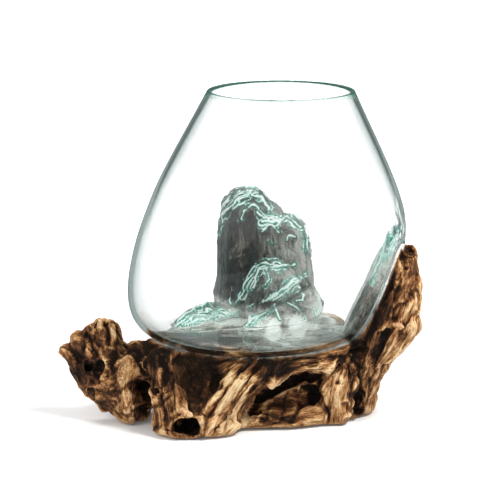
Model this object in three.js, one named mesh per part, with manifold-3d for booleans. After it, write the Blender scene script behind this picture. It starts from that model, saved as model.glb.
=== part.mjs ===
// A blown glass terrarium that has settled over a driftwood root, on felt feet.
// Millimetres, +Z up, the root's long side along X and the viewer at -Y.
import Module from 'manifold-3d';
import * as THREE from 'three';
import { mergeVertices } from 'three/addons/utils/BufferGeometryUtils.js';

const wasm = await Module();
wasm.setup();

// Glass vessel: a round bulb, open at the top, whose axis bends to the right as it rises.
const vesselHeight = 197;
const bellyRadius = 108;
const bellyHeight = 66;
const rimRadius = 58.5;
const floorRadius = 66;
const wall = 3.6;
const rimBead = 1.2;
const shoulderSlope = 0.5;
const floorShift = 2.3;
const slump = 13.5;
const slumpHeight = 110;
const lean = 8.5;
const vesselSegments = 48;
const shoulderRings = 10;
const bowlRings = 8;

// The root, the seat that it forms for the vessel, and its feet.
const seatHeight = 60;
const seatGap = 0.35;
const padThickness = 1.5;
const padRadius = 6.5;
const padSegments = 20;

// Sections of the root's limbs.
const limbSides = 20;
const pressSides = 14;
const fingerSides = 9;
const seamSides = 6;
const seamSpans = 3;
const bodyRings = 2;
const squareness = 2.5;
const fluteCount = 5;
const fluteDepth = 0.07;
const endBulge = 0.5;

// Limbs that carry the vessel and stand on the ground.
// Each station is x, y, z of the centre, half the width seen from the front, half the depth.
const bodyLimbs = {
  heart: [[-106, -28, 33, 18, 18], [-79, -26, 36, 26, 30], [-40, -24, 34, 32, 38],
    [4, -16, 34, 34, 44], [48, -8, 36, 34, 44], [84, 0, 34, 26, 32]],
  rearMass: [[-74, 24, 24, 16, 22], [-40, 34, 32, 26, 34], [12, 42, 36, 30, 38],
    [60, 36, 34, 28, 34], [88, 26, 28, 17, 20]],
  frontLeftFoot: [[-66, -46, 52, 20, 22], [-60, -56, 32, 24, 26], [-51, -68, 8, 25, 29],
    [-49, -70, -14, 24, 26]],
  diagonalRoot: [[16, -58, 54, 13, 16], [-3, -66, 36, 15, 18], [-20, -72, 17, 16, 19],
    [-32, -76, 0, 16, 18]],
  archLip: [[4, -58, 51, 10, 16], [35, -58, 52, 10, 14], [60, -50, 54, 10, 14], [78, -42, 57, 9, 13]],
  lowerLip: [[-34, -66, 8, 9, 14], [0, -56, 7, 9, 16], [30, -54, 7, 9, 16], [54, -48, 9, 10, 14]],
  rightFrontLobe: [[74, -40, 52, 12, 16], [69, -43, 32, 15, 17], [65, -44, 8, 15, 17],
    [62, -44, -12, 14, 16]],
  rightMiddleLobe: [[88, -30, 56, 9, 16], [85, -30, 38, 11, 16], [81, -30, 12, 11, 16],
    [80, -30, -10, 10, 14]],
  rightFoot: [[94, -16, 40, 14, 20], [93, -18, 18, 10, 16], [89, -19, -8, 9, 13]],
  leftFoot: [[-86, -38, 30, 16, 18], [-92, -45, 10, 12, 15], [-93, -47, -8, 10, 12]],
  rearLeftFoot: [[-50, 36, 30, 20, 22], [-56, 46, 8, 17, 18], [-58, 48, -12, 15, 16]],
  rearRightFoot: [[66, 40, 32, 20, 22], [74, 52, 10, 16, 18], [76, 54, -12, 14, 16]],
  upperWing: [[-88, -33, 33, 20, 20], [-108, -32, 43, 21, 15], [-126, -28, 53, 19, 11],
    [-140, -25, 51, 11, 8]],
  lowerWing: [[-92, -42, 16, 15, 15], [-114, -37, 26, 18, 14], [-130, -31, 37, 14, 12],
    [-141, -27, 43, 8, 9]],
};

// Thin broken ends of the left wing and ribs on its front.
const fingerLimbs = {
  tallFinger: [[-112, -32, 52, 10, 10], [-117, -28, 70, 7, 7], [-119, -27, 78, 5, 5]],
  innerFinger: [[-105, -34, 48, 9, 11], [-107, -30, 66, 6.5, 8], [-108, -28, 77, 6, 6]],
  middleFinger: [[-122, -29, 56, 9, 9], [-127, -27, 68, 7, 7], [-129, -26, 73, 5, 5]],
  outerFinger: [[-130, -28, 52, 9, 9], [-137, -26, 62, 6, 7], [-139, -25, 66, 4, 5]],
  tipFinger: [[-134, -27, 46, 9, 9], [-145, -25, 50, 6, 7], [-150, -24, 53, 4, 5]],
  leftEdge: [[-143, -26, 50, 5, 8], [-141, -27, 37, 5, 8], [-127, -31, 24, 7, 10], [-113, -38, 11, 8, 10]],
  shellFace: [[-92, -42, 50, 10, 10], [-94, -49, 32, 13, 13], [-92, -51, 13, 13, 14]],
};

// Limbs that push up into the soft glass: heights count from the vessel's underside.
// Each narrows as it rises, so the vessel lifts straight off.
const knobDepth = 31;
const knobY = bellyRadius - 24;
const knobLimbs = {
  tallKnob: [[-6, knobY + 4, -76, 30, knobDepth + 7], [-5, knobY + 2, -20, 24, knobDepth + 4],
    [-4, knobY, 30, 19, knobDepth], [-4, knobY - 1, 66, 18.5, knobDepth - 1],
    [-3, knobY - 1, 91, 16, knobDepth - 3]],
  middleKnob: [[12, knobY, 20, 18, knobDepth], [12, knobY, 66, 14, knobDepth - 1],
    [13, knobY - 1, 81, 12, knobDepth - 4]],
  lowKnob: [[34, knobY + 4, -70, 26, knobDepth + 6], [33, knobY + 2, -20, 22, knobDepth + 3],
    [32, knobY, 20, 19, knobDepth - 1], [31, knobY, 50, 17, knobDepth - 2],
    [29, knobY - 1, 69, 13, knobDepth - 5]],
  knobSpur: [[18, knobY - 26, -24, 30, 26], [18, knobY - 28, 6, 25, 22], [20, knobY - 31, 28, 20, 18],
    [23, knobY - 34, 40, 13, 12]],
};
const branchX = bellyRadius - 25;
const branchLimbs = {
  branch: [[branchX, -16, -40, 18, 20], [branchX + 7, -20, -16, 18, 26], [branchX + 19, -26, 8, 23, 31.5],
    [branchX + 28, -29, 25, 25, 31], [branchX + 32, -29, 47, 20, 28], [branchX + 35, -28, 65, 16, 22],
    [branchX + 37, -28, 74, 13, 17]],
};

// Ridges under the vessel's floor: half the width, half the height. Their middles stay at or below
// the floor, so that no glass lies under them.
const floorRidges = {
  leftRidge: [[-70, -8, -12, 10, 9], [-58, 6, -8, 11, 10], [-45, 24, -2, 11, 13], [-34, 40, -2, 12, 14],
    [-16, knobY - 26, -3, 14, 11], [4, knobY - 16, -4, 14, 10]],
  rightRidge: [[-20, -12, -16, 10, 9], [-10, -4, -14, 11, 9], [10, 12, -2, 11, 11], [32, 30, -2, 11, 17],
    [45, knobY - 37, -2, 10, 26], [48, knobY - 18, -2, 12, 25]],
};

// Round hollows worn into the root: x, y, z of the centre, then half the length, depth and height.
const pockets = [
  [-37, -86, 43, 17, 27, 17],
  [34, -88, 17, 21, 20, 12],
  [88, -52, 12, 6, 20, 13],
  [branchX + 42, -30, seatHeight + 84, 8, 11, 15],
  [-98, -38, 68, 5, 30, 15],
];

// Long crevices, drawn as limbs that are cut away.
const crevices = {
  underArch: [[-4, -84, 12, 8, 24], [12, -80, 25, 10, 30], [34, -74, 37, 9, 30], [54, -64, 41, 8, 24]],
  behindFoot: [[-84, -72, 2, 8, 30], [-82, -66, 20, 7, 26], [-84, -58, 36, 6, 18]],
};

// Seams run on the surface of a limb, between two places on it: how far along it, from 0 to 1, and
// the angle round it in degrees, where -90 faces front. A groove's number is how deep it is.
const grooveWidth = 3;
const grooves = [
  ['diagonalRoot', [0.06, -150], [0.85, -125], 3],
  ['diagonalRoot', [0.08, -118], [0.9, -93], 3],
  ['diagonalRoot', [0.3, -79], [0.85, -62], 2.5],
  ['frontLeftFoot', [0, -165], [0.4, -115], 4],
  ['frontLeftFoot', [0.1, -50], [0.55, -75], 2.5],
  ['innerFinger', [0.1, -140], [0.65, -150], 3],
  ['upperWing', [0.62, -160], [0.55, -30], 2.5],
  ['lowerWing', [0.55, -150], [0.4, -40], 2.5],
  ['shellFace', [0.1, -100], [0.8, -80], 2],
  ['rightFrontLobe', [0, -98], [0.4, -150], 3],
  ['rightFrontLobe', [0, -62], [0.45, -35], 3],
  ['branch', [0.17, -70], [0.54, -56], 3],
  ['branch', [0.17, -100], [0.7, -92], 2.5],
  ['branch', [0.2, -130], [0.8, -122], 3],
  ['rearMass', [0.12, 80], [0.45, 95], 3.5],
  ['rearMass', [0.5, 74], [0.82, 98], 3],
  ['rearMass', [0.1, 130], [0.5, 140], 3.5],
  ['rearMass', [0.55, 125], [0.9, 135], 3.5],
  ['heart', [0.05, 110], [0.3, 95], 3],
  ['rearLeftFoot', [0.1, 130], [0.7, 120], 2.5],
  ['rightFoot', [0.1, 20], [0.7, 30], 2.5],
  ['branch', [0.15, 178], [0.75, 182], 3],
  ['branch', [0.15, 120], [0.7, 128], 3],
  ['tallKnob', [0.2, 60], [0.95, 65], 3],
  ['tallKnob', [0.1, 100], [0.8, 95], 3],
  ['lowKnob', [0.2, 130], [0.9, 125], 3],
  ['rearLeftFoot', [0.1, 70], [0.7, 80], 2.5],
  ['rearRightFoot', [0.1, 100], [0.7, 90], 2.5],
  ['upperWing', [0.2, 60], [0.8, 100], 2.5],
];

// A rib's number is how far it stands out.
const ribWidth = 4;
const ribs = [
  ['diagonalRoot', [0.1, -132], [0.88, -110], 2.2],
  ['diagonalRoot', [0.12, -99], [0.88, -78], 2.2],
  ['diagonalRoot', [0.3, -160], [0.85, -145], 1.8],
  ['frontLeftFoot', [0.05, -72], [0.5, -140], 2.2],
  ['archLip', [0.04, -140], [0.75, -140], 1.8],
  ['rightFrontLobe', [0.04, -118], [0.42, -165], 1.8],
  ['rightFrontLobe', [0.04, -78], [0.45, -60], 2],
  ['shellFace', [0.1, -60], [0.8, -55], 1.8],
  ['rearMass', [0.1, 108], [0.5, 118], 2.5],
  ['rearMass', [0.5, 45], [0.85, 65], 2.5],
  ['rearMass', [0.15, 150], [0.55, 155], 2.5],
  ['upperWing', [0.3, 40], [0.8, 50], 2],
  ['lowerWing', [0.3, 60], [0.8, 80], 2],
];

// The knot on the front foot: a hole with a raised lip round its upper side.
const knotHole = [-48, -98, 9, 11, 26, 8.5];
const knotLipGap = 3;
const knotLipDepth = 5;
const knotLipRadius = 3.5;
const knotLipArc = [-20, 30, 80, 130, 180];

// Colours and finishes.
const glassFinish = { color: 0xcfe5df, roughness: 0.05, metalness: 0 };
const woodFinish = { color: 0x7a5636, roughness: 0.85, metalness: 0 };
const feltFinish = { color: 0x3b3029, roughness: 0.95, metalness: 0 };

const front = new THREE.Vector3(0, 1, 0);
const up = new THREE.Vector3(0, 0, 1);

// A closed geometry becomes a solid that can be joined and cut.
function solidOf(geometry) {
  const bare = geometry.clone();
  bare.deleteAttribute('normal');
  bare.deleteAttribute('uv');
  const closed = mergeVertices(bare, 1e-4);
  const vertProperties = new Float32Array(closed.attributes.position.array);
  const triVerts = new Uint32Array(closed.index.array);
  return new wasm.Manifold(new wasm.Mesh({ numProp: 3, vertProperties, triVerts }));
}

function geometryOf(solid) {
  const mesh = solid.getMesh();
  const geometry = new THREE.BufferGeometry();
  geometry.setAttribute('position', new THREE.BufferAttribute(mesh.vertProperties, 3));
  geometry.setIndex(new THREE.BufferAttribute(mesh.triVerts, 1));
  geometry.computeVertexNormals();
  return geometry;
}

function joined(solids) {
  return solids.reduce((whole, solid) => whole.add(solid));
}

// The vessel's centre line at a height above its underside.
function axisX(height) {
  const swing = THREE.MathUtils.smoothstep(height, 0, slumpHeight);
  return floorShift + slump * swing + lean * height / vesselHeight;
}

// Radius and height along the bulb's outside, from the middle of the floor up to the rim.
function bulbOutline() {
  const bowl = new THREE.CubicBezierCurve(
    new THREE.Vector2(floorRadius, 0),
    new THREE.Vector2(bellyRadius - 7, 0),
    new THREE.Vector2(bellyRadius, bellyHeight * 0.48),
    new THREE.Vector2(bellyRadius, bellyHeight),
  );
  const shoulderRise = vesselHeight - bellyHeight;
  const shoulder = new THREE.CubicBezierCurve(
    new THREE.Vector2(bellyRadius, bellyHeight),
    new THREE.Vector2(bellyRadius, bellyHeight + shoulderRise * 0.32),
    new THREE.Vector2(rimRadius + shoulderSlope * shoulderRise * 0.45, vesselHeight - shoulderRise * 0.45),
    new THREE.Vector2(rimRadius, vesselHeight),
  );
  return [...bowl.getPoints(bowlRings), ...shoulder.getPoints(shoulderRings).slice(1)];
}

// The outline moved along its own normal, out for a positive distance and in for a negative one.
function offsetOutline(points, distance) {
  return points.map((point, i) => {
    const before = points[Math.max(i - 1, 0)];
    const after = points[Math.min(i + 1, points.length - 1)];
    const along = after.clone().sub(before).normalize();
    if (i === 0) along.set(1, 0);
    return new THREE.Vector2(point.x + along.y * distance, point.y - along.x * distance);
  });
}

// A turned solid of the outline, sheared so that each level sits on the vessel's centre line.
function bulb(outline) {
  const bottom = new THREE.Vector2(0, outline[0].y);
  const top = new THREE.Vector2(0, outline[outline.length - 1].y);
  const geometry = new THREE.LatheGeometry([bottom, ...outline, top], vesselSegments);
  geometry.rotateX(Math.PI / 2);
  const position = geometry.attributes.position;
  for (let i = 0; i < position.count; i += 1) {
    const height = position.getZ(i);
    position.setXYZ(i, position.getX(i) + axisX(height), position.getY(i), height + seatHeight);
  }
  return solidOf(geometry);
}

// The curves of a limb's centre line and of its half sizes.
function spineOf(stations) {
  const path = new THREE.CatmullRomCurve3(stations.map(([x, y, z]) => new THREE.Vector3(x, y, z)));
  const sizes = new THREE.CatmullRomCurve3(stations.map(([, , , w, d]) => new THREE.Vector3(w, d, 0)));
  return { path, sizes };
}

// From a limb's centre line to its fluted, squarish surface, at an angle round it.
function outward({ path, sizes }, t, angle, { grow = 0, twist = 0, depthAxis = front }) {
  const size = sizes.getPoint(t);
  const tangent = path.getTangent(t);
  const across = new THREE.Vector3().crossVectors(tangent, depthAxis).normalize();
  const deep = new THREE.Vector3().crossVectors(across, tangent).normalize();
  const c = Math.cos(angle);
  const s = Math.sin(angle);
  const square = (Math.abs(c) ** squareness + Math.abs(s) ** squareness) ** (-1 / squareness);
  const scale = square * (1 + fluteDepth * Math.cos(fluteCount * angle + twist * t));
  return across.multiplyScalar(c * scale * (size.x + grow))
    .addScaledVector(deep, s * scale * (size.y + grow));
}

// A tapering limb with blunt ends, drawn through its stations.
function limb(stations, options = {}) {
  const { grow = 0, sides = limbSides, spanRings = bodyRings } = options;
  const spine = spineOf(stations);
  const { path, sizes } = spine;
  const steps = (stations.length - 1) * spanRings;
  const positions = [];
  const addRing = (t, endAngle, direction) => {
    const size = sizes.getPoint(t);
    const shrink = Math.cos(endAngle);
    const reachOut = (Math.min(size.x, size.y) * endBulge + grow) * Math.sin(endAngle) * direction;
    const centre = path.getPoint(t).addScaledVector(path.getTangent(t), reachOut);
    for (let side = 0; side < sides; side += 1) {
      const angle = side / sides * 2 * Math.PI;
      const point = centre.clone().addScaledVector(outward(spine, t, angle, options), shrink);
      positions.push(point.x, point.y, point.z);
    }
  };
  const endAngles = [Math.PI * 0.3];
  endAngles.forEach((angle) => addRing(0, angle, -1));
  for (let step = 0; step <= steps; step += 1) addRing(step / steps, 0, 0);
  endAngles.forEach((angle) => addRing(1, angle, 1));
  const rings = steps + 1 + 2 * endAngles.length;
  const poles = [0, 1].map((end) => poleOf(path, sizes, end, grow));
  return solidOf(tubeGeometry(positions, rings, sides, poles[0], poles[1]));
}

function poleOf(path, sizes, t, grow) {
  const size = sizes.getPoint(t);
  const reachOut = Math.min(size.x, size.y) * endBulge + grow;
  return path.getPoint(t).addScaledVector(path.getTangent(t), t === 0 ? -reachOut : reachOut);
}

// Rings of points, closed by a fan to a pole at each end.
function tubeGeometry(positions, rings, sides, startPole, endPole) {
  const start = rings * sides;
  const end = start + 1;
  const indices = [];
  for (let side = 0; side < sides; side += 1) {
    const next = (side + 1) % sides;
    indices.push(start, side, next);
    for (let ring = 0; ring < rings - 1; ring += 1) {
      const low = ring * sides;
      const high = low + sides;
      indices.push(low + side, high + side, high + next, low + side, high + next, low + next);
    }
    const last = (rings - 1) * sides;
    indices.push(last + side, end, last + next);
  }
  const geometry = new THREE.BufferGeometry();
  const all = [...positions, ...startPole.toArray(), ...endPole.toArray()];
  geometry.setAttribute('position', new THREE.Float32BufferAttribute(all, 3));
  geometry.setIndex(indices);
  return geometry;
}

// Stations whose heights count from the vessel's underside.
function raised(stations) {
  return stations.map(([x, y, z, w, d]) => [x, y, z + seatHeight, w, d]);
}

// The limbs that press the glass, each grown by a distance. They stay untwisted, so that they taper upwards.
function pressingLimbs(grow) {
  const upright = [...Object.values(knobLimbs), ...Object.values(branchLimbs)];
  const flat = Object.values(floorRidges);
  return joined([
    ...upright.map((stations) => limb(raised(stations), { grow, spanRings: 1, sides: pressSides })),
    ...flat.map((stations) => limb(raised(stations), { grow, spanRings: 1, sides: fingerSides, depthAxis: up })),
  ]);
}

// The spine of a limb that carries a seam, and how its flutes turn.
function carrierOf(name) {
  const upright = { ...knobLimbs, ...branchLimbs };
  if (name in upright) return { spine: spineOf(raised(upright[name])), twist: 0 };
  const table = name in bodyLimbs ? bodyLimbs : fingerLimbs;
  return { spine: spineOf(table[name]), twist: Object.keys(table).indexOf(name) };
}

// A thin limb sunk in another's surface, with its outer side a rise above that surface.
function seam([name, from, to], width, rise) {
  const { spine, twist } = carrierOf(name);
  const stations = [];
  for (let step = 0; step <= seamSpans; step += 1) {
    const share = step / seamSpans;
    const t = THREE.MathUtils.lerp(from[0], to[0], share);
    const angle = THREE.MathUtils.degToRad(THREE.MathUtils.lerp(from[1], to[1], share));
    const reach = outward(spine, t, angle, { twist });
    const point = spine.path.getPoint(t).add(reach).addScaledVector(reach.normalize(), rise - width);
    stations.push([point.x, point.y, point.z, width, width]);
  }
  return limb(stations, { sides: seamSides, spanRings: 1 });
}

// A groove is a seam that is cut away, its inner side the groove's depth below the surface.
function grooveSeam(groove) {
  return seam(groove, grooveWidth, 2 * grooveWidth - groove[3]);
}

function ribSeam(rib) {
  return seam(rib, ribWidth, rib[3]);
}

function knotLip() {
  const [x, y, z, length, , height] = knotHole;
  const stations = knotLipArc.map((degrees) => {
    const angle = THREE.MathUtils.degToRad(degrees);
    const side = x + (length + knotLipGap) * Math.cos(angle);
    const level = z + (height + knotLipGap) * Math.sin(angle);
    return [side, y + knotLipDepth, level, knotLipRadius, knotLipRadius];
  });
  return limb(stations, { sides: seamSides, spanRings: 1 });
}

function ellipsoid([x, y, z, length, depth, height]) {
  const geometry = new THREE.SphereGeometry(1, 14, 10);
  geometry.scale(length, depth, height);
  geometry.translate(x, y, z);
  return solidOf(geometry);
}

function vesselGeometry() {
  const outline = bulbOutline();
  const outside = bulb(outline).subtract(pressingLimbs(seatGap));
  const inner = offsetOutline(outline, -wall);
  const mouth = inner[inner.length - 1];
  const throat = new THREE.Vector2(mouth.x, vesselHeight + rimBead);
  const hollow = bulb([...inner, throat]).subtract(pressingLimbs(seatGap + wall));
  return geometryOf(outside.subtract(hollow));
}

function rootGeometry() {
  const thick = Object.values(bodyLimbs).map((stations, i) => limb(stations, { twist: i }));
  const fingers = Object.values(fingerLimbs);
  const thin = fingers.map((stations, i) => limb(stations, { sides: fingerSides, twist: i }));
  const seat = bulb(offsetOutline(bulbOutline(), seatGap));
  const raisedRibs = ribs.map((rib) => ribSeam(rib));
  const wood = joined([...thick, ...thin, ...raisedRibs, knotLip()]).subtract(seat).add(pressingLimbs(0));
  const cuts = [
    ...[...pockets, knotHole].map((pocket) => ellipsoid(pocket)),
    ...Object.values(crevices).map((stations) => limb(stations, { sides: fingerSides })),
    ...grooves.map((groove) => grooveSeam(groove)),
  ];
  const worn = cuts.reduce((rest, cut) => rest.subtract(cut), wood);
  const ground = new THREE.BoxGeometry(600, 600, 200);
  ground.translate(0, 0, padThickness - 100);
  return geometryOf(worn.subtract(solidOf(ground)));
}

function padGeometry() {
  const geometry = new THREE.CylinderGeometry(padRadius, padRadius, padThickness, padSegments);
  geometry.rotateX(Math.PI / 2);
  geometry.translate(0, 0, padThickness / 2);
  return geometry;
}

function piece(name, geometry, finish) {
  const mesh = new THREE.Mesh(geometry, new THREE.MeshStandardMaterial(finish));
  mesh.name = name;
  return mesh;
}

// A pad sits under the middle of each of the four main feet, at the ground.
const padFeet = ['frontLeftFoot', 'rightFrontLobe', 'rearLeftFoot', 'rearRightFoot'];

const terrarium = new THREE.Group();
terrarium.add(piece('driftwood_root', rootGeometry(), woodFinish));
terrarium.add(piece('glass_vessel', vesselGeometry(), glassFinish));
padFeet.forEach((foot, i) => {
  const [x, y] = bodyLimbs[foot][bodyLimbs[foot].length - 1];
  const pad = piece(`felt_pad_${i + 1}`, padGeometry(), feltFinish);
  pad.position.set(x, y, 0);
  terrarium.add(pad);
});

// The origin goes under the middle of the whole object.
const middle = new THREE.Box3().setFromObject(terrarium).getCenter(new THREE.Vector3());
terrarium.position.set(-middle.x, -middle.y, 0);

const group = new THREE.Group();
group.add(terrarium);

export default group;
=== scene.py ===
# A blown glass terrarium that has settled over a driftwood root.
# Metres, +Z up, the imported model's frame. The photograph is seen from -Y.
import functools
import itertools
import math

import bmesh
import bpy
import numpy as np
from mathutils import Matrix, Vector


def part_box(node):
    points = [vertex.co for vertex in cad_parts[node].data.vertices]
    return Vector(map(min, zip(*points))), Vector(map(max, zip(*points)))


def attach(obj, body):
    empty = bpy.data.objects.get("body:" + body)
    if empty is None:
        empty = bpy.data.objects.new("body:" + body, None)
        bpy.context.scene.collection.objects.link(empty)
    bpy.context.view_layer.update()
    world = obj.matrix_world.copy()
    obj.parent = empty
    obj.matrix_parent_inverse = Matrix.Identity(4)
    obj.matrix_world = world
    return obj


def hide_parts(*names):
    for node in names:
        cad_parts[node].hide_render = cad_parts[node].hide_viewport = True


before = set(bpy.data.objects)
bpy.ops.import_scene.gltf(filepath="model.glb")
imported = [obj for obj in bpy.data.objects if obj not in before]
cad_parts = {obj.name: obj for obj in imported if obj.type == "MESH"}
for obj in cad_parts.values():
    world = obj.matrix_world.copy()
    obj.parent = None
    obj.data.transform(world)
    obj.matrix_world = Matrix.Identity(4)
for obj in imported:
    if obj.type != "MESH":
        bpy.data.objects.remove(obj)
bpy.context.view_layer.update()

MM = 0.001
FAR_AWAY = 1e9
VOXEL_WOOD = 0.00146
VOXEL_GLASS = 0.0012
# The share of the vessel's faces that is kept when its plain wall is thinned.
KEPT_FACES = 0.32

# The measured places below are in millimetres from the point under the photograph's middle.
# The first felt pad lies at a known place in them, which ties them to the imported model.
FIRST_PAD = (-49.0, -70.0)
pad_low, pad_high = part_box("felt_pad_1")
SHIFT = np.array([(pad_low.x + pad_high.x) / 2 / MM - FIRST_PAD[0],
                  (pad_low.y + pad_high.y) / 2 / MM - FIRST_PAD[1], 0.0])

# The vessel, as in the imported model.
SEAT_HEIGHT = 60.0
VESSEL_HEIGHT = 197.0
BELLY_RADIUS = 108.0
BELLY_HEIGHT = 66.0
RIM_RADIUS = 58.5
FLOOR_RADIUS = 66.0
WALL = 3.6
SHOULDER_SLOPE = 0.5
FLOOR_SHIFT = 2.3
SLUMP = 13.5
SLUMP_HEIGHT = 110.0
LEAN = 8.5

# Lines that the root's fibres follow: the thickness of the limb round each, then its points.
FIBRES = {
    "heart": (31, [(-106, -28, 33), (-40, -24, 34), (48, -8, 36), (84, 0, 34)]),
    "rear": (30, [(-74, 24, 24), (12, 42, 36), (88, 26, 28)]),
    "front_foot": (23, [(-66, -46, 52), (-60, -56, 32), (-51, -68, 8), (-49, -70, -14)]),
    "diagonal": (15, [(16, -58, 54), (-3, -66, 36), (-20, -72, 17), (-32, -76, 0)]),
    "arch_lip": (10, [(4, -58, 51), (35, -58, 52), (60, -50, 54), (78, -42, 57)]),
    "lower_lip": (10, [(-34, -66, 8), (0, -56, 7), (30, -54, 7), (54, -48, 9)]),
    "front_lobe": (15, [(74, -40, 52), (69, -43, 32), (65, -44, 8), (62, -44, -12)]),
    "middle_lobe": (12, [(88, -30, 56), (85, -30, 38), (81, -30, 12)]),
    "right_foot": (13, [(94, -16, 40), (93, -18, 18), (89, -19, -8)]),
    "left_foot": (14, [(-86, -38, 30), (-92, -45, 10), (-93, -47, -8)]),
    "rear_left": (17, [(-50, 36, 30), (-56, 46, 8), (-58, 48, -12)]),
    "rear_right": (17, [(66, 40, 32), (74, 52, 10), (76, 54, -12)]),
    "palm_low": (13, [(-90, -42, 12), (-114, -37, 26), (-132, -31, 38), (-143, -26, 50)]),
    "palm_mid": (14, [(-92, -40, 22), (-112, -33, 42), (-126, -28, 58), (-137, -26, 64)]),
    "palm_high": (12, [(-92, -38, 26), (-108, -33, 44), (-115, -29, 62), (-119, -27, 78)]),
    "inner_finger": (7, [(-100, -36, 40), (-106, -31, 60), (-108, -28, 77)]),
    "shell": (12, [(-92, -42, 50), (-94, -49, 32), (-92, -51, 13)]),
    "knob_tall": (24, [(-6, 88, -16), (-5, 86, 40), (-4, 84, 90), (-3, 83, 152)]),
    "knob_low": (24, [(34, 88, -10), (33, 86, 40), (32, 84, 80), (29, 83, 130)]),
    "spur": (20, [(18, 58, 36), (18, 56, 66), (20, 53, 88), (23, 50, 100)]),
    "branch": (21, [(83, -16, 20), (90, -20, 44), (102, -26, 68), (111, -29, 85), (115, -29, 107),
                    (118, -28, 125), (120, -28, 136)]),
}


def hex_colour(code):
    """An sRGB hex colour as linear red, green, blue and alpha."""
    parts = [int(code[i:i + 2], 16) / 255 for i in (1, 3, 5)]
    return [c / 12.92 if c <= 0.04045 else ((c + 0.055) / 1.055) ** 2.4 for c in parts] + [1.0]


def smooth_step(values, low, high):
    part = np.clip((values - low) / (high - low), 0, 1)
    return part * part * (3 - 2 * part)


def lattice_hash(cell, seed):
    mixed = cell[..., 0] * 73856093 ^ cell[..., 1] * 19349663 ^ cell[..., 2] * 83492791
    mixed ^= seed * 7919 + 12345
    mixed = (mixed ^ (mixed >> 13)) * 1274126177 & 0x7FFFFFFF
    return mixed ^ (mixed >> 15)


def three_randoms(mixed):
    """Three values from 0 to 1 out of each hash."""
    return np.stack([(mixed >> shift & 1023) / 1023 for shift in (0, 10, 20)], axis=1)


def soft_noise(points, seed):
    """Gradient noise, about -1 to 1, one lump per unit."""
    cell = np.floor(points).astype(np.int64)
    part = points - cell
    fade = part ** 3 * (part * (part * 6 - 15) + 10)
    total = np.zeros(len(points))
    for corner in itertools.product((0, 1), repeat=3):
        corner = np.array(corner)
        slope = three_randoms(lattice_hash(cell + corner, seed)) * 2 - 1
        weight = np.where(corner == 1, fade, 1 - fade).prod(axis=1)
        total += weight * (slope * (part - corner)).sum(axis=1)
    return total * 1.7


def layered_noise(points, seed):
    return soft_noise(points, seed) + soft_noise(points * 2, seed + 1) / 2


def chips(points, seed):
    """Random cells round scattered points: distance to the point, distance to the cell's edge, a
    random value for each cell, and the height of its own slanting plane."""
    cell = np.floor(points).astype(np.int64)
    nearest = np.full(len(points), FAR_AWAY)
    second = np.full(len(points), FAR_AWAY)
    value = np.zeros(len(points))
    slant = np.zeros(len(points))
    for step in itertools.product((-1, 0, 1), repeat=3):
        there = cell + np.array(step)
        mixed = lattice_hash(there, seed)
        jitter = three_randoms(mixed)
        offset = points - there - jitter
        away = np.linalg.norm(offset, axis=1)
        closer = away < nearest
        second = np.where(closer, nearest, np.minimum(second, away))
        value = np.where(closer, (mixed % 1009) / 1009, value)
        slant = np.where(closer, (offset * (jitter[:, ::-1] - 0.5)).sum(axis=1) * 2, slant)
        nearest = np.where(closer, away, nearest)
    return nearest, second - nearest, value, slant


def rows_of(items, name, width=3, kind=float):
    """One row for each of a mesh's vertices, normals or edges."""
    flat = np.empty(len(items) * width, dtype=kind)
    items.foreach_get(name, flat)
    return flat.reshape(-1, width)


def coordinates(mesh):
    return rows_of(mesh.vertices, "co")


def normals(mesh):
    return rows_of(mesh.vertex_normals, "vector")


def edge_ends(mesh):
    return rows_of(mesh.edges, "vertices", 2, np.int32)


def set_coordinates(mesh, points):
    mesh.vertices.foreach_set("co", points.astype(np.float32).ravel())
    mesh.update()


def spread(values, ends, rounds, keep=None):
    """Each vertex moves half way to the mean of its neighbours, some rounds over."""
    values = values.copy()
    one = values.ndim == 1
    if one:
        values = values[:, None]
    count = np.bincount(ends.ravel(), minlength=len(values)).clip(1)
    for _ in range(rounds):
        mean = np.empty_like(values)
        for axis in range(values.shape[1]):
            column = values[:, axis]
            mean[:, axis] = (np.bincount(ends[:, 0], column[ends[:, 1]], len(values))
                             + np.bincount(ends[:, 1], column[ends[:, 0]], len(values))) / count
        part = 0.5 if keep is None else 0.5 * (1 - keep)[:, None]
        values += (mean - values) * part
    return values[:, 0] if one else values


def in_packed_frame(points):
    """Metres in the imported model's frame, from millimetres under the photograph's middle."""
    return (points + SHIFT) * MM


def measured(mesh):
    return coordinates(mesh) / MM - SHIFT


def add_attribute(mesh, name, values, kind="FLOAT"):
    layer = mesh.attributes.new(name, kind, "POINT")
    field = "vector" if kind == "FLOAT_VECTOR" else "value"
    layer.data.foreach_set(field, np.asarray(values, dtype=np.float32).ravel())


def select_only(piece):
    bpy.ops.object.select_all(action="DESELECT")
    piece.select_set(True)
    bpy.context.view_layer.objects.active = piece


def apply_modifier(piece, kind, **settings):
    select_only(piece)
    modifier = piece.modifiers.new(kind.title(), kind)
    for name, value in settings.items():
        setattr(modifier, name, value)
    bpy.ops.object.modifier_apply(modifier=modifier.name)


def remesh(piece, voxel):
    apply_modifier(piece, "REMESH", mode="VOXEL", voxel_size=voxel, use_smooth_shade=True)


def new_object(name, data):
    piece = bpy.data.objects.new(name, data)
    bpy.context.scene.collection.objects.link(piece)
    return piece


def copy_of_node(node, name):
    """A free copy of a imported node, with its loose triangles joined."""
    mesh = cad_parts[node].data.copy()
    piece = new_object(name, mesh)
    mesh.materials.clear()
    shape = bmesh.new()
    shape.from_mesh(mesh)
    bmesh.ops.remove_doubles(shape, verts=shape.verts, dist=0.00002)
    shape.to_mesh(mesh)
    shape.free()
    return piece


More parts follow.
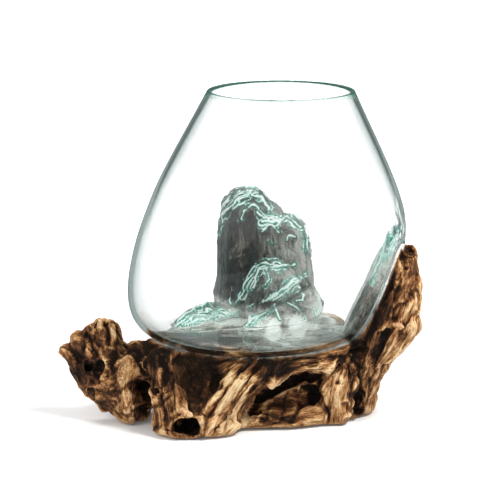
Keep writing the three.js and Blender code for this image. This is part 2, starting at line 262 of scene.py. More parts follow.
def nearest_on_line(points, line):
    """Distance to a line of points, the way along it, and the nearest place on it."""
    line = np.array(line, dtype=float)
    best = np.full(len(points), FAR_AWAY)
    along = np.zeros(len(points))
    foot = np.zeros(points.shape)
    travelled = 0.0
    for start, end in zip(line[:-1], line[1:]):
        way = end - start
        length = np.linalg.norm(way)
        part = np.clip(((points - start) @ way) / max(way @ way, 1e-12), 0, 1)
        place = start + part[:, None] * way
        away = np.linalg.norm(points - place, axis=1)
        closer = away < best
        best = np.where(closer, away, best)
        along = np.where(closer, travelled + part * length, along)
        foot = np.where(closer[:, None], place, foot)
        travelled += length
    return best, along, foot


# A direction that no limb follows, and the way along from one limb's pattern to the next one's.
CROSSWISE = (0.31, 0.93, 0.19)
LIMB_STEP = 137


def fibre_space(points):
    """Straightened coordinates for the two nearest limbs of each point, and how far it leans to
    the first."""
    depth, spaces = [], []
    for number, (thickness, line) in enumerate(FIBRES.values()):
        away, along, foot = nearest_on_line(points, line)
        ends = np.array(line[-1], dtype=float) - np.array(line[0], dtype=float)
        ends /= np.linalg.norm(ends)
        side = np.cross(ends, CROSSWISE)
        side /= np.linalg.norm(side)
        offset = points - foot
        depth.append(away - thickness)
        spaces.append(np.stack([along + offset @ ends + number * LIMB_STEP, offset @ side,
                                offset @ np.cross(ends, side)], axis=1))
    depth, spaces = np.stack(depth), np.stack(spaces)
    first, second = np.argsort(depth, axis=0)[:2]
    rows = np.arange(len(points))
    gap = depth[second, rows] - depth[first, rows]
    return spaces[first, rows], spaces[second, rows], 0.5 + 0.5 * smooth_step(gap, 0, 5)


def bulb_axis(height):
    """Sideways place of the vessel's centre line at a height above its underside."""
    part = np.clip(height / SLUMP_HEIGHT, 0, 1)
    return FLOOR_SHIFT + SLUMP * part * part * (3 - 2 * part) + LEAN * height / VESSEL_HEIGHT


def bezier(points, count):
    t = np.linspace(0, 1, count)[:, None]
    a, b, c, d = [np.array(point) for point in points]
    return a * (1 - t) ** 3 + 3 * b * t * (1 - t) ** 2 + 3 * c * t ** 2 * (1 - t) + d * t ** 3


FLOOR_POINTS = 30


def bulb_outline():
    """Radius and height of the bulb's outside, floor to rim."""
    rise = VESSEL_HEIGHT - BELLY_HEIGHT
    floor = np.stack([np.linspace(0, FLOOR_RADIUS, FLOOR_POINTS), np.zeros(FLOOR_POINTS)], axis=1)
    bowl = bezier([(FLOOR_RADIUS, 0), (BELLY_RADIUS - 7, 0), (BELLY_RADIUS, BELLY_HEIGHT * 0.48),
                   (BELLY_RADIUS, BELLY_HEIGHT)], 60)
    shoulder = bezier([(BELLY_RADIUS, BELLY_HEIGHT), (BELLY_RADIUS, BELLY_HEIGHT + rise * 0.32),
                       (RIM_RADIUS + SHOULDER_SLOPE * rise * 0.45, VESSEL_HEIGHT - rise * 0.45),
                       (RIM_RADIUS, VESSEL_HEIGHT)], 90)
    return np.concatenate([floor[:-1], bowl[:-1], shoulder])


def wall_section():
    """The whole section of the wall: outside, round lip, inside."""
    outside = bulb_outline()
    way = np.gradient(outside, axis=0)
    way /= np.linalg.norm(way, axis=1)[:, None]
    inside = outside + np.stack([-way[:, 1], way[:, 0]], axis=1) * WALL
    inside[:FLOOR_POINTS] = outside[:FLOOR_POINTS] + (0, WALL)
    middle = (outside[-1] + inside[-1]) / 2
    spoke = outside[-1] - middle
    across = np.array((-spoke[1], spoke[0]))
    lip = [middle + spoke * math.cos(turn) + across * math.sin(turn)
           for turn in np.linspace(0, math.pi, 12)[1:-1]]
    return np.concatenate([outside, lip, inside[::-1]])


def add_node(tree, kind, links=None, stops=(), **settings):
    """A node with its settings, a ramp's stops, and links into its inputs from other sockets or
    from the first output of other nodes."""
    node = tree.nodes.new("ShaderNode" + kind)
    for name, value in settings.items():
        if name in node.inputs:
            node.inputs[name].default_value = value
        else:
            setattr(node, name, value)
    for number, (place, code) in enumerate(stops):
        elements = node.color_ramp.elements
        element = elements.new(place) if number > 1 else elements[number]
        element.position = place
        element.color = hex_colour(code)
    for name, source in (links or {}).items():
        tree.links.new(getattr(source, "outputs", [source])[0], node.inputs[name])
    return node


def node_adder(owner):
    """The function that adds nodes to a new material or world."""
    owner.use_nodes = True
    owner.node_tree.nodes.clear()
    return functools.partial(add_node, owner.node_tree)


# The camera of the photograph: a long lens, a little above the object.
CAMERA_DISTANCE = 1600.0
CAMERA_TILT = math.radians(12.4)
AIM_HEIGHT = 129.0
LENS = 144.0
SENSOR_WIDTH = 36.0
PHOTO_WIDTH = 500
# The squares in which the foremost point hides what lies behind it.
CELL_PIXELS = 3
PHOTO_FOCUS = LENS / SENSOR_WIDTH * PHOTO_WIDTH
CAMERA_PLACE = np.array([0.0, -CAMERA_DISTANCE * math.cos(CAMERA_TILT),
                         AIM_HEIGHT + CAMERA_DISTANCE * math.sin(CAMERA_TILT)])
CAMERA_WAY = np.array([0.0, math.cos(CAMERA_TILT), -math.sin(CAMERA_TILT)])
CAMERA_UP = np.array([0.0, math.sin(CAMERA_TILT), math.cos(CAMERA_TILT)])


def in_photo(points):
    """Where points in millimetres lie in the photograph, in its pixels."""
    away = points - CAMERA_PLACE
    depth = away @ CAMERA_WAY
    return np.stack([PHOTO_WIDTH / 2 + PHOTO_FOCUS * away[:, 0] / depth,
                     PHOTO_WIDTH / 2 - PHOTO_FOCUS * (away @ CAMERA_UP) / depth], axis=1)


def make_camera():
    data = bpy.data.cameras.new("camera")
    data.lens = LENS
    data.sensor_width = SENSOR_WIDTH
    camera = new_object("camera", data)
    camera.location = in_packed_frame(CAMERA_PLACE)
    camera.rotation_euler = (math.pi / 2 - CAMERA_TILT, 0, 0)
    bpy.context.scene.camera = camera


def on_section(points):
    """Radius and height of points round the vessel's leaning centre line."""
    height = points[:, 2] - SEAT_HEIGHT
    return np.stack([np.hypot(points[:, 0] - bulb_axis(height), points[:, 1]), height], axis=1)


def bulb_depth(points):
    """Distance from the bulb's outside, below zero inside it."""
    outline = bulb_outline()
    here = on_section(points)
    away = nearest_on_line(here, outline)[0]
    radius, height = here.T
    wall = outline[FLOOR_POINTS - 1:]
    inside = (height > 0) & (height < VESSEL_HEIGHT)
    inside &= radius < np.interp(height, wall[:, 1], wall[:, 0])
    return np.where(inside, -away, away)


# Marks on the front of the root, as seen in the photograph, in its pixels: half width, height in
# millimetres (below zero is carved in), change of tone, then the points. The darker tone in grooves,
# clefts and holes is partly the wood's own and partly painted shade; the paler tone on raised edges
# is partly wear and partly painted highlight.
ROOT_MARKS = {
    "cleft in the wing": (4.0, -2.4, -0.40, [(119, 338), (115, 352), (111, 368)]),
    "notch between the tips": (2.2, -3.0, -0.25, [(105, 322), (107, 334), (109, 344)]),
    "groove on the outer tip": (1.8, -1.8, -0.16, [(96, 326), (95, 340), (91, 352)]),
    "groove on the wing": (1.8, -0.8, -0.18, [(84, 334), (84, 350), (86, 366), (92, 384)]),
    "groove by the sliver": (1.6, -1.6, -0.16, [(93, 352), (95, 368), (98, 384)]),
    "sliver's edge": (1.4, 1.4, 0.22, [(94, 341), (100, 354), (109, 370)]),
    "fan's top edge": (1.5, 1.6, 0.22, [(110, 371), (118, 361), (128, 355), (137, 362), (139, 374)]),
    "fan's foot": (1.5, -1.4, -0.20, [(139, 377), (128, 384), (118, 392)]),
    "crevice beside the fan": (4.5, -2.0, -0.34, [(130, 349), (139, 360), (146, 373), (156, 385),
                                                  (158, 397)]),
    "ragged edge below": (1.5, 1.6, 0.20, [(129, 412), (138, 404), (146, 401)]),
    "gap behind the foot": (5.0, -2.5, -0.42, [(143, 408), (150, 417), (154, 426)]),
    "ridge of the left foot": (1.8, 0.6, 0.22, [(172, 374), (164, 386), (157, 397), (149, 406)]),
    "groove of the left foot": (2.0, -2.0, -0.20, [(152, 408), (160, 404), (166, 398)]),
    "hollow's upper corner": (6.0, -3.0, -0.26, [(206, 364), (216, 374), (218, 386)]),
    "hollow's rim": (1.6, 0.6, 0.22, [(224, 384), (217, 396), (207, 409), (200, 417)]),
    "hollow's grain, first": (1.4, -1.0, -0.10, [(190, 362), (191, 380), (188, 398)]),
    "hollow's grain, second": (1.4, -1.0, -0.10, [(201, 362), (203, 382), (199, 402)]),
    "knot's lip": (1.9, 0.8, 0.24, [(170, 414), (176, 410), (186, 412), (196, 418), (201, 427),
                                    (198, 435), (190, 440)]),
    "knot's hole": (7.5, -5.0, -0.42, [(183, 424), (190, 428)]),
    "first diagonal groove": (1.7, -0.8, -0.26, [(242, 370), (228, 388), (214, 408), (206, 424)]),
    "first diagonal rib": (2.2, 0.6, 0.20, [(248, 372), (234, 388), (220, 408), (210, 428)]),
    "second diagonal groove": (1.6, -0.8, -0.28, [(251, 377), (238, 394), (226, 412), (216, 430)]),
    "second diagonal rib": (2.2, 0.6, 0.22, [(256, 380), (244, 396), (232, 414), (222, 430)]),
    "third diagonal groove": (1.4, -0.6, -0.22, [(256, 388), (246, 402), (238, 416), (230, 429)]),
    "third diagonal rib": (1.8, 1.4, 0.20, [(256, 394), (249, 406), (242, 418), (238, 428)]),
    "small hole": (2.2, -2.4, -0.34, [(251, 410), (250, 415)]),
    "arch, upper edge": (1.6, 0.7, 0.24, [(250, 398), (260, 392), (272, 386), (288, 377), (304, 372),
                                          (316, 368)]),
    "arch, deep line": (4.2, -4.0, -0.50, [(252, 412), (257, 401), (266, 394), (277, 388), (292, 381),
                                           (306, 377), (322, 378)]),
    "arch, low light edge": (1.3, 1.4, 0.24, [(257, 422), (262, 411)]),
    "inner mass, grain": (1.3, -1.0, -0.12, [(272, 396), (268, 408), (266, 420)]),
    "inner mass, grain too": (1.3, -1.0, -0.12, [(288, 392), (284, 406), (281, 420)]),
    "inner knot": (4.5, -3.5, -0.34, [(306, 387), (310, 390)]),
    "inner knot's ring": (1.4, 1.6, 0.20, [(300, 393), (300, 385), (305, 381), (313, 383)]),
    "hollow by the knot": (4.0, -4.0, -0.34, [(320, 380), (318, 388), (315, 395)]),
    "long crack": (1.5, -0.9, -0.42, [(344, 357), (334, 368), (327, 381), (321, 395)]),
    "long crack's edge": (1.3, 0.5, 0.22, [(339, 358), (330, 369), (324, 382), (318, 394)]),
    "second crack": (1.4, -0.9, -0.36, [(352, 358), (360, 371), (359, 382), (355, 393)]),
    "second crack's edge": (1.3, 0.5, 0.24, [(349, 360), (356, 372), (355, 382), (351, 391)]),
    "lobe's edge": (1.5, 1.4, 0.18, [(340, 402), (348, 400), (353, 408), (347, 416)]),
    "red pocket": (5.0, -3.5, -0.34, [(355, 396), (355, 406), (359, 413)]),
    "small foot": (3.0, 1.5, 0.16, [(364, 401), (367, 410)]),
    "groove under the lobe": (1.8, -2.4, -0.28, [(326, 408), (330, 416), (328, 424)]),
    "groove right of the arch": (1.6, -2.0, -0.24, [(300, 401), (296, 412), (290, 424)]),
    # Painted shadow of the glass on the wood beside it.
    "dark line beside the glass": (3.6, -3.6, -0.34, [(391, 262), (382, 290), (374, 316), (366, 338),
                                                      (357, 352)]),
    "strip's shade": (2.2, -1.0, -0.34, [(377, 312), (372, 334), (366, 354), (362, 370)]),
    # Painted shade on the branch's side under the glass.
    "branch, dark side": (6.0, -2.0, -0.26, [(392, 276), (384, 300), (378, 326)]),
    "branch, first streak": (1.4, -0.6, -0.18, [(414, 290), (402, 308), (388, 334), (380, 350)]),
    "branch, second streak": (1.4, -0.6, -0.18, [(419, 308), (408, 322), (396, 338), (384, 358)]),
    "branch, third streak": (1.3, -1.4, -0.14, [(402, 280), (396, 298), (388, 318)]),
    "branch, pale rib": (1.8, 1.4, 0.18, [(416, 298), (404, 316), (392, 336), (382, 354)]),
    "branch, pale side": (3.0, 0.8, 0.16, [(408, 266), (410, 280), (414, 296)]),
    "branch, top hollow": (4.5, -3.5, -0.45, [(395, 251), (403, 254), (411, 251)]),
    "branch, light edge": (1.2, 1.2, 0.22, [(368, 360), (366, 372)]),
    "lower branch, groove": (1.4, -1.8, -0.22, [(384, 344), (376, 362), (370, 382)]),
    "lower branch, rib": (1.6, 1.4, 0.16, [(378, 366), (374, 382), (370, 396)]),
}

# Broad changes of tone on the front of the root: middle, half width and half height in the
# photograph's pixels, change of tone. Some of them are painted shade or painted light, as marked below.
ROOT_SHADES = {
    # Painted shade: the wing's left face is turned from the light.
    "wing, left face": ((82, 360), (18, 24), -0.18),
    "fan": ((125, 370), (13, 14), 0.17),
    "sliver": ((105, 370), (6, 16), 0.14),
    "wing, foot": ((112, 396), (24, 16), 0.06),
    # Painted shadow of the glass on the wood below it, and painted shade behind the foot.
    "under the glass, left": ((150, 354), (24, 14), -0.42),
    "behind the foot": ((160, 372), (14, 14), -0.10),
    # Painted shade in the hollow, darkest at its top under the glass.
    "hollow": ((202, 386), (24, 28), -0.35),
    "hollow, top": ((200, 364), (24, 7), -0.12),
    "patch by the hollow": ((218, 366), (8, 6), 0.22),
    "ledge by the hollow": ((231, 380), (8, 5), 0.22),
    # Partly painted highlight: the diagonal ribs are pale wood, lit as well.
    "diagonal ribs": ((234, 404), (22, 26), 0.50),
    "diagonal ribs, foot": ((226, 422), (22, 10), 0.14),
    # Painted shadow of the glass over the arch.
    "band over the arch": ((270, 368), (30, 12), -0.46),
    "inner mass": ((282, 400), (24, 15), 0.16),
    "lower lip": ((277, 417), (22, 8), -0.26),
    "tan lobe": ((309, 412), (16, 13), 0.10),
    "flat lobe": ((336, 382), (14, 24), 0.19),
    "lip under the glass": ((326, 366), (12, 8), 0.18),
    "lower right lobe": ((340, 414), (13, 9), 0.16),
    # Painted shade on the branch's inner side, in the glass's shadow, and painted light on its lit outer
    # side.
    "branch, inner side": ((383, 300), (11, 46), -0.18),
    "branch, outer side": ((408, 300), (14, 40), 0.15),
    "branch, lower side": ((390, 345), (12, 20), 0.32),
}

# The same for the ash under the vessel, which its floor makes look some pixels higher. The two
# pale spots stand in for the lamps that it reflects.
FLOOR_RISE = 3.5
ASH_SHADES = {
    "front of the floor": ((205, 338), (62, 9), -0.32),
    "front of the floor, middle": ((285, 342), (26, 8), 0.38),
    "right of the floor": ((326, 326), (20, 18), -0.12),
    "pale spot, left": ((273, 330), (7, 10), 1.0),
    "pale spot, right": ((298, 325), (8, 10), 1.0),
    "right flank of the knob": ((316, 300), (10, 16), 0.3),
    "branch, under the glass": ((358, 304), (18, 32), -0.75),
}

# Places where the weathered wood is smooth: middle, half width and half height.
SMOOTH_PLACES = {
    "fan": ((125, 371), (12, 14)),
    "hollow": ((202, 386), (22, 24)),
    "inner mass": ((280, 402), (22, 17)),
    "lobe under the arch": ((312, 411), (14, 11)),
    "dark band": ((268, 368), (24, 9)),
}


def facing_camera(points, out):
    """How surely the photograph shows each point, in front of all others and turned to it, and
    where it lies there."""
    seen = in_photo(points)
    depth = (points - CAMERA_PLACE) @ CAMERA_WAY
    cells = PHOTO_WIDTH // CELL_PIXELS
    column, row = np.clip(seen // CELL_PIXELS, 0, cells - 1).astype(int).T
    front = np.full((cells, cells), FAR_AWAY)
    np.minimum.at(front, (column, row), depth)
    in_front = 1 - smooth_step(depth - front[column, row], 9, 14)
    return in_front * smooth_step(-(out @ CAMERA_WAY), 0.0, 0.3), seen


def share_in(seen, middle, reach, inner, outer):
    """1 in the inner part of an oval place in the photograph, and 0 beyond its outer part."""
    return 1 - smooth_step(np.linalg.norm((seen - middle) / reach, axis=1), inner, outer)


def wood_relief(points, covered):
    """Height of the wood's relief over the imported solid, its tone and its fibre coordinates."""
    first, second, lean = fibre_space(points)
    wander = np.stack([layered_noise(points / 26 + seed, 40 + seed) for seed in range(3)], axis=1) * 3.6
    sums = []
    # Lengths are in millimetres: along the limb first, then across it.
    for space in (first, second):
        bent = space + wander
        bundles = np.abs(soft_noise(bent / (64, 13, 13), 1))
        strands = np.abs(soft_noise(bent / (46, 6.2, 6.2), 2))
        fibres = np.abs(soft_noise(bent / (30, 3.0, 3.0), 3))
        _, edge, value, slant = chips(bent / (34, 15, 15), 4)
        split = (1 - smooth_step(edge, 0.0, 0.09)) * smooth_step(value, 0.45, 0.6)
        sums.append(np.stack([bundles, strands, fibres, value + 0.9 * slant, split], axis=1))
    mixed = sums[0] * lean[:, None] + sums[1] * (1 - lean)[:, None]
    bundles, strands, fibres, facet, split = mixed.T
    lumps = layered_noise(points / 24, 7)
    holes = 1 - smooth_step(chips(points / 17, 15)[0], 0.06, 0.13)
    # The root is stringy in some places and scaly in others.
    stringy = 0.3 + 0.7 * smooth_step(soft_noise(points / 24, 91), -0.15, 0.3)
    open_relief = (1.9 * lumps + stringy * (3.6 * bundles + 1.9 * (0.5 - strands)) + 1.3 * fibres
                   + (4.6 - 2.0 * stringy) * (facet - 0.5)
                   - 2.0 * split - 2.2 * holes - 1.6)
    buried = -1.1 + 0.7 * np.minimum(strands * 2.2, 1) - 0.5 * split
    relief = open_relief * (1 - covered) + np.minimum(buried, -0.35) * covered
    ropes = 0.10 * smooth_step(bundles, 0.0, 0.25) + 0.10 * (1 - smooth_step(strands, 0.0, 0.3))
    tone = (stringy * ropes + 0.12 * smooth_step(fibres, 0.0, 0.25)
            + (0.32 - 0.14 * stringy) * (facet - 0.5) - 0.18 * split - 0.3 * holes - 0.21)
    tone += 0.12 * layered_noise(points / 30, 33)
    return relief, tone, first + wander


def carved(points, out):
    """Height and tone of the marks that the photograph shows on the front of the root, the tone of
    the ash, and how smooth the wood is."""
    facing, seen = facing_camera(points, out)
    height, tone, ash, smooth = np.zeros((4, len(points)))
    wobble = 1.4 * np.stack([soft_noise(points / 7, 61), soft_noise(points / 7, 62)], axis=1)
    for half_width, rise, change, line in ROOT_MARKS.values():
        share = np.exp(-(nearest_on_line(seen + wobble, line)[0] / half_width) ** 2)
        height += rise * share
        tone += change * share
    for middle, reach, change in ROOT_SHADES.values():
        tone += change * share_in(seen + 2 * wobble, middle, reach, 0.6, 1.3)
    for middle, reach, change in ASH_SHADES.values():
        ash += change * share_in(seen - (0, FLOOR_RISE), middle, reach, 0.5, 1.5)
    for middle, reach in SMOOTH_PLACES.values():
        smooth = np.maximum(smooth, share_in(seen + wobble, middle, reach, 0.7, 1.2))
    return np.clip(height, -9, 4) * facing, tone * facing, ash * facing, smooth * facing


# The rim that closes the knot's hole all round: middle, half width and half height of the ring,
# and its own radius.
KNOT_MIDDLE = (-48.0, -92.0, 11.5)
KNOT_RING = (13.0, 9.5)
KNOT_RIM = 3.2
# The sill that closes the hole below, and the heel of the left foot: middle, half sizes.
KNOT_SILL = ((-48, -80, 4.5), (12, 14, 4))
LEFT_HEEL = ((-87, -45, 8.5), (9, 10, 8))


def knot_rim():
    bpy.ops.mesh.primitive_torus_add(major_segments=40, minor_segments=12, major_radius=KNOT_RING[0],
                                     minor_radius=KNOT_RIM, rotation=(math.pi / 2, 0, 0))
    rim = bpy.context.object
    bpy.ops.object.transform_apply(rotation=True)
    squashed = coordinates(rim.data) * (1, 1, KNOT_RING[1] / KNOT_RING[0])
    set_coordinates(rim.data, in_packed_frame(squashed + KNOT_MIDDLE))
    return rim


def lump(middle, half_sizes):
    bpy.ops.mesh.primitive_uv_sphere_add(segments=32, ring_count=16, radius=1)
    piece = bpy.context.object
    set_coordinates(piece.data, in_packed_frame(coordinates(piece.data) * half_sizes + middle))
    return piece


# How dark bare wood is before its marks, and how many rounds of smoothing find its fine and its
# broad ridges.
BASE_TONE = 0.55
FINE_ROUNDS = 4
BROAD_ROUNDS = 60


def driftwood():
    piece = copy_of_node("driftwood_root", "driftwood")
    added = [knot_rim(), lump(*KNOT_SILL), lump(*LEFT_HEEL)]
    select_only(piece)
    for extra in added:
        extra.select_set(True)
    bpy.ops.object.join()
    remesh(piece, VOXEL_WOOD)
    mesh = piece.data
    ends = edge_ends(mesh)
    set_coordinates(mesh, spread(coordinates(mesh), ends, FINE_ROUNDS))
    points = measured(mesh)
    x, y, z = points.T
    out = normals(mesh)
    from_glass = bulb_depth(points)
    covered = 1 - smooth_step(from_glass, 0.8, 4.5)
    # On top and at the back, where it is only seen through the glass, the pale ash colour reaches
    # further, partly as a painted haze of light in the glass.
    behind = smooth_step(y, -20, 10)
    under_floor = 1 - smooth_step(np.hypot(x - bulb_axis(0), y), 58, 68)
    level = smooth_step(out[:, 2], 0.35, 0.75) * under_floor
    ashen = 1 - np.clip((from_glass - 0.2) / (1.2 + np.maximum(7 * behind, 5 * level)), 0, 1)
    # Wood just round the glass, out of the ash, is darkened: a painted shadow of the glass.
    shaded = (1 - ashen) * (1 - smooth_step(from_glass, 3, 12))
    relief, tone, fibre = wood_relief(points, covered)
    mark_height, mark_tone, ash_tone, smooth = carved(points, out)
    relief = relief * (1 - 0.5 * smooth) + mark_height * (1 - covered)
    tone = tone * (1 - 0.7 * smooth) + mark_tone * (1 - covered) - 0.16 * shaded
    # Low down the ash is darker at the front and paler towards the back, the paleness a painted haze of
    # light in the glass floor.
    low_down = 1 - smooth_step(z, SEAT_HEIGHT + 4, SEAT_HEIGHT + 14)
    tone += ashen * (low_down * (0.5 * smooth_step(y, -60, 30) - 0.24) + ash_tone)
    # The knob is paler on its right.
    tone += 0.2 * ashen * (1 - low_down) * smooth_step(x, 8, 24)
    # The soles stay flat on the felt dots.
    pad_top = pad_high.z / MM
    standing = smooth_step(z, pad_top + 0.6, pad_top + 6)
    points = points + out * (relief * standing)[:, None]
    points[:, 2] = np.maximum(points[:, 2], pad_top)
    points = spread(points, ends, 1)
    set_coordinates(mesh, in_packed_frame(points))
    x, y, z = points.T
    out = normals(mesh)
    # Ridges are paler, partly worn and partly painted highlight, and clefts are darker as painted shade.
    fine, broad = [((points - spread(points, ends, rounds)) * out).sum(axis=1)
                   for rounds in (FINE_ROUNDS, BROAD_ROUNDS)]
    tone = BASE_TONE + tone + 0.15 * np.clip(fine / 0.35, -1, 1) + 0.11 * np.clip(broad / 2.2, -1.6, 1)
    tone += 0.22 * ashen * smooth_step(x, 60, 72)
    # Char lies on the knob alone, thinner on its right, and above the vessel's floor.
    char = ashen * (1 - smooth_step(x, 46, 58)) * smooth_step(y, -6, 6)
    char *= 1 - 0.3 * smooth_step(x, 8, 26)
    char *= smooth_step(z, SEAT_HEIGHT + 4, SEAT_HEIGHT + 16)
    add_attribute(mesh, "tone", np.clip(tone, 0, 1))
    add_attribute(mesh, "covered", ashen)
    add_attribute(mesh, "char", char)
    add_attribute(mesh, "fibre", fibre * MM, "FLOAT_VECTOR")
    mesh.shade_smooth()
    mesh.materials.append(weathered_teak_root())
    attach(piece, "base")
    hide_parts("driftwood_root")


def new_material(name):
    material = bpy.data.materials.new(name)
    return material, node_adder(material)


def weathered_teak_root():
    """Teak root, dried, brushed and left bare: dull, darker in its clefts as painted shade and paler on
    its ribs as wear and painted highlight. Under the vessel the hot glass has scorched it: charcoal on
    the knob, ash on the floor, painted silvery towards the back and in two spots as painted haze and
    reflections of the glass."""
    material, add = new_material("weathered_teak_root")
    tone, covered, char = [add("Attribute", attribute_name=name).outputs["Fac"]
                           for name in ("tone", "covered", "char")]
    fibre = add("Attribute", attribute_name="fibre").outputs["Vector"]
    place = add("TexCoord").outputs["Object"]
    # Fibre bundles about 1.2 mm wide and twelve times as long.
    drawn = add("Mapping", {"Vector": fibre}, Scale=(70, 820, 820))
    threads = add("TexNoise", {"Vector": drawn}, Scale=1.0, Detail=5.0, Roughness=0.62)
    blotches = add("TexNoise", {"Vector": place}, Scale=55.0, Detail=5.0, Roughness=0.65)
    # Cracks between strips of bark about 3 mm wide.
    strips = add("Mapping", {"Vector": fibre}, Scale=(36, 330, 330))
    cells = add("TexVoronoi", {"Vector": strips}, feature="DISTANCE_TO_EDGE", Scale=1.0)
    cracks = add("ValToRGB", {"Fac": cells.outputs["Distance"]}, [(0.0, "#000000"), (0.07, "#ffffff")])
    # Pits and scales about 1 mm across.
    pits = add("TexNoise", {"Vector": place}, Scale=900.0, Detail=2.0, Roughness=0.6)
    cracked = scaled(add, cracks, 0.16, -0.13, tone)
    pitted = scaled(add, pits, 0.5, -0.25, cracked)
    streaked = scaled(add, threads, 1.05, -0.525, pitted)
    level = scaled(add, blotches, 0.5, -0.25, streaked)
    bark = add("ValToRGB", {"Fac": level},
                    [(0.0, "#150d08"), (0.2, "#2f1d11"), (0.36, "#4f331e"), (0.5, "#71492c"),
                     (0.64, "#9a6d43"), (0.8, "#c19564"), (1.0, "#ebcda0")])
    red = add("ValToRGB", {"Fac": blotches}, [(0.5, "#000000"), (0.66, "#a0a0a0")])
    warm = add("Mix", {"Factor": red, "A": bark}, data_type="RGBA", blend_type="MULTIPLY",
                    B=hex_colour("#e6a680"))
    ash = add("ValToRGB", {"Fac": level},
                   [(0.0, "#2a2926"), (0.3, "#6c6863"), (0.6, "#bab6b0"), (0.85, "#efeeec"),
                    (1.0, "#fbfbfa")])
    coal = add("ValToRGB", {"Fac": level},
                    [(0.1, "#060505"), (0.35, "#171513"), (0.6, "#39332d"), (0.9, "#7b746c")])
    scorched = add("Mix", {"Factor": char, "A": ash, "B": coal}, data_type="RGBA")
    colour = add("Mix", {"Factor": covered, "A": warm.outputs["Result"],
                                    "B": scorched.outputs["Result"]}, data_type="RGBA")
    height = scaled(add, cracks, 0.3, 0.0, threads)
    bump = add("Bump", {"Height": height}, Strength=0.85, Distance=0.0015)
    shader = add("BsdfPrincipled",
                      {"Base Color": colour.outputs["Result"], "Normal": bump}, Roughness=0.86)
    shader.inputs["Specular IOR Level"].default_value = 0.25
    add("OutputMaterial", {"Surface": shader})
    return material


def scaled(add, value, factor, offset, other=None):
    """value * factor + offset, and another value added if there is one."""
    node = add("Math", {0: value}, operation="MULTIPLY_ADD")
    node.inputs[1].default_value = factor
    node.inputs[2].default_value = offset
    if other is None:
        return node
    return add("Math", {0: node, 1: other}, operation="ADD")


# Thick folds of the glass, as seen in the photograph, in its pixels: half width, height in
# millimetres, then the points.
FOLDS = {
    "left mound": (2.6, 3.0, [(163, 334), (177, 326), (188, 314), (198, 308), (209, 304), (220, 313),
                              (232, 320)]),
    "left mound, stroke": (2.0, 2.2, [(185, 333), (192, 320), (200, 314), (210, 311)]),
    "left mound, tail": (2.0, 2.4, [(185, 342), (192, 331), (200, 322), (208, 319), (217, 318)]),
    "left mound, tail too": (1.6, 2.0, [(210, 333), (212, 324), (218, 319)]),
    "small fold": (1.6, 1.8, [(158, 333), (166, 337), (173, 334)]),
    "long fold": (2.4, 2.4, [(217, 319), (229, 322), (240, 323), (248, 319)]),
    "long fold, upper": (1.8, 2.0, [(223, 314), (237, 313), (246, 309), (253, 304)]),
    "thick diagonal": (3.2, 3.6, [(245, 333), (247, 326), (252, 318), (259, 311), (271, 302), (284, 292),
                                  (296, 281), (305, 274)]),
    "diagonal, upper edge": (1.6, 2.0, [(253, 312), (262, 303), (272, 296), (281, 289)]),
    "second top": (2.4, 2.6, [(235, 304), (245, 291), (248, 276), (256, 267), (266, 263), (275, 266),
                              (285, 266), (294, 265)]),
    "second top, inner": (1.8, 1.8, [(255, 288), (256, 278), (260, 271), (268, 270)]),
    "second top, clot": (2.6, 1.8, [(267, 272), (269, 279), (266, 286)]),
    "second top, ring": (1.6, 1.6, [(230, 304), (233, 297), (237, 291)]),
    "top drape, outer": (1.8, 2.4, [(231, 188), (222, 199), (216, 213), (215, 227), (217, 243)]),
    "top drape, left": (2.6, 2.6, [(250, 195), (240, 201), (231, 208), (223, 216), (218, 224), (217, 233)]),
    "top drape": (2.6, 2.6, [(242, 190), (253, 189), (263, 192), (268, 202), (271, 212)]),
    "top drape, streak": (1.4, 1.8, [(252, 196), (259, 200), (266, 207)]),
    "top drape, inner": (2.2, 2.2, [(241, 220), (243, 211), (250, 207), (258, 209), (264, 216), (268, 220)]),
    "bridge": (2.4, 2.2, [(257, 213), (264, 219), (272, 219), (279, 222)]),
    "bridge, loop": (1.8, 1.8, [(263, 231), (266, 226), (271, 224), (276, 229), (279, 233)]),
    "bridge, clot": (1.6, 1.4, [(269, 241), (274, 243), (279, 238)]),
    "low top": (2.4, 2.4, [(279, 221), (285, 215), (294, 216), (302, 226), (306, 238), (307, 252)]),
    "low top, arch": (1.3, 1.8, [(286, 242), (290, 237), (296, 237)]),
    "right of the spur": (1.8, 1.8, [(297, 292), (303, 296), (303, 302), (297, 302)]),
    "pressed edge": (2.6, 3.0, [(398, 229), (391, 238), (385, 248), (381, 261), (374, 274), (371, 281)]),
    "pressed edge, inner": (1.6, 2.4, [(386, 234), (376, 240), (367, 248), (358, 256)]),
    "pressed edge, second": (1.5, 2.0, [(382, 243), (371, 250), (360, 259)]),
    "pressed edge, third": (2.0, 2.2, [(369, 264), (364, 268), (358, 272), (353, 277)]),
    "pressed edge, lower": (1.3, 1.6, [(350, 282), (346, 290), (343, 306)]),
    "first drip": (1.4, 1.6, [(273, 303), (277, 312), (280, 320)]),
    "second drip": (2.0, 1.8, [(288, 303), (297, 309), (305, 320)]),
    "third drip": (1.4, 1.6, [(313, 308), (319, 324), (321, 341)]),
    "cap, left": (6.0, 1.2, [(218, 222), (228, 204), (240, 194), (252, 191)]),
    "cap, right": (4.5, 1.2, [(252, 191), (264, 196), (270, 208)]),
    "cap, low": (4.5, 1.2, [(262, 222), (276, 220), (288, 217), (300, 228)]),
    "left mound, body": (5.5, 1.2, [(176, 331), (196, 317), (214, 314), (232, 320)]),
    "diagonal, body": (5.5, 1.2, [(246, 328), (262, 309), (282, 295), (298, 281)]),
    "second top, body": (4.5, 1.0, [(242, 296), (252, 280), (262, 268), (278, 267)]),
    "pressed, body": (6.0, 1.0, [(360, 264), (372, 251), (384, 240)]),
}


# Pixels from one fine ridge of a fold to the next.
RIDGE_SPACING = 3.2
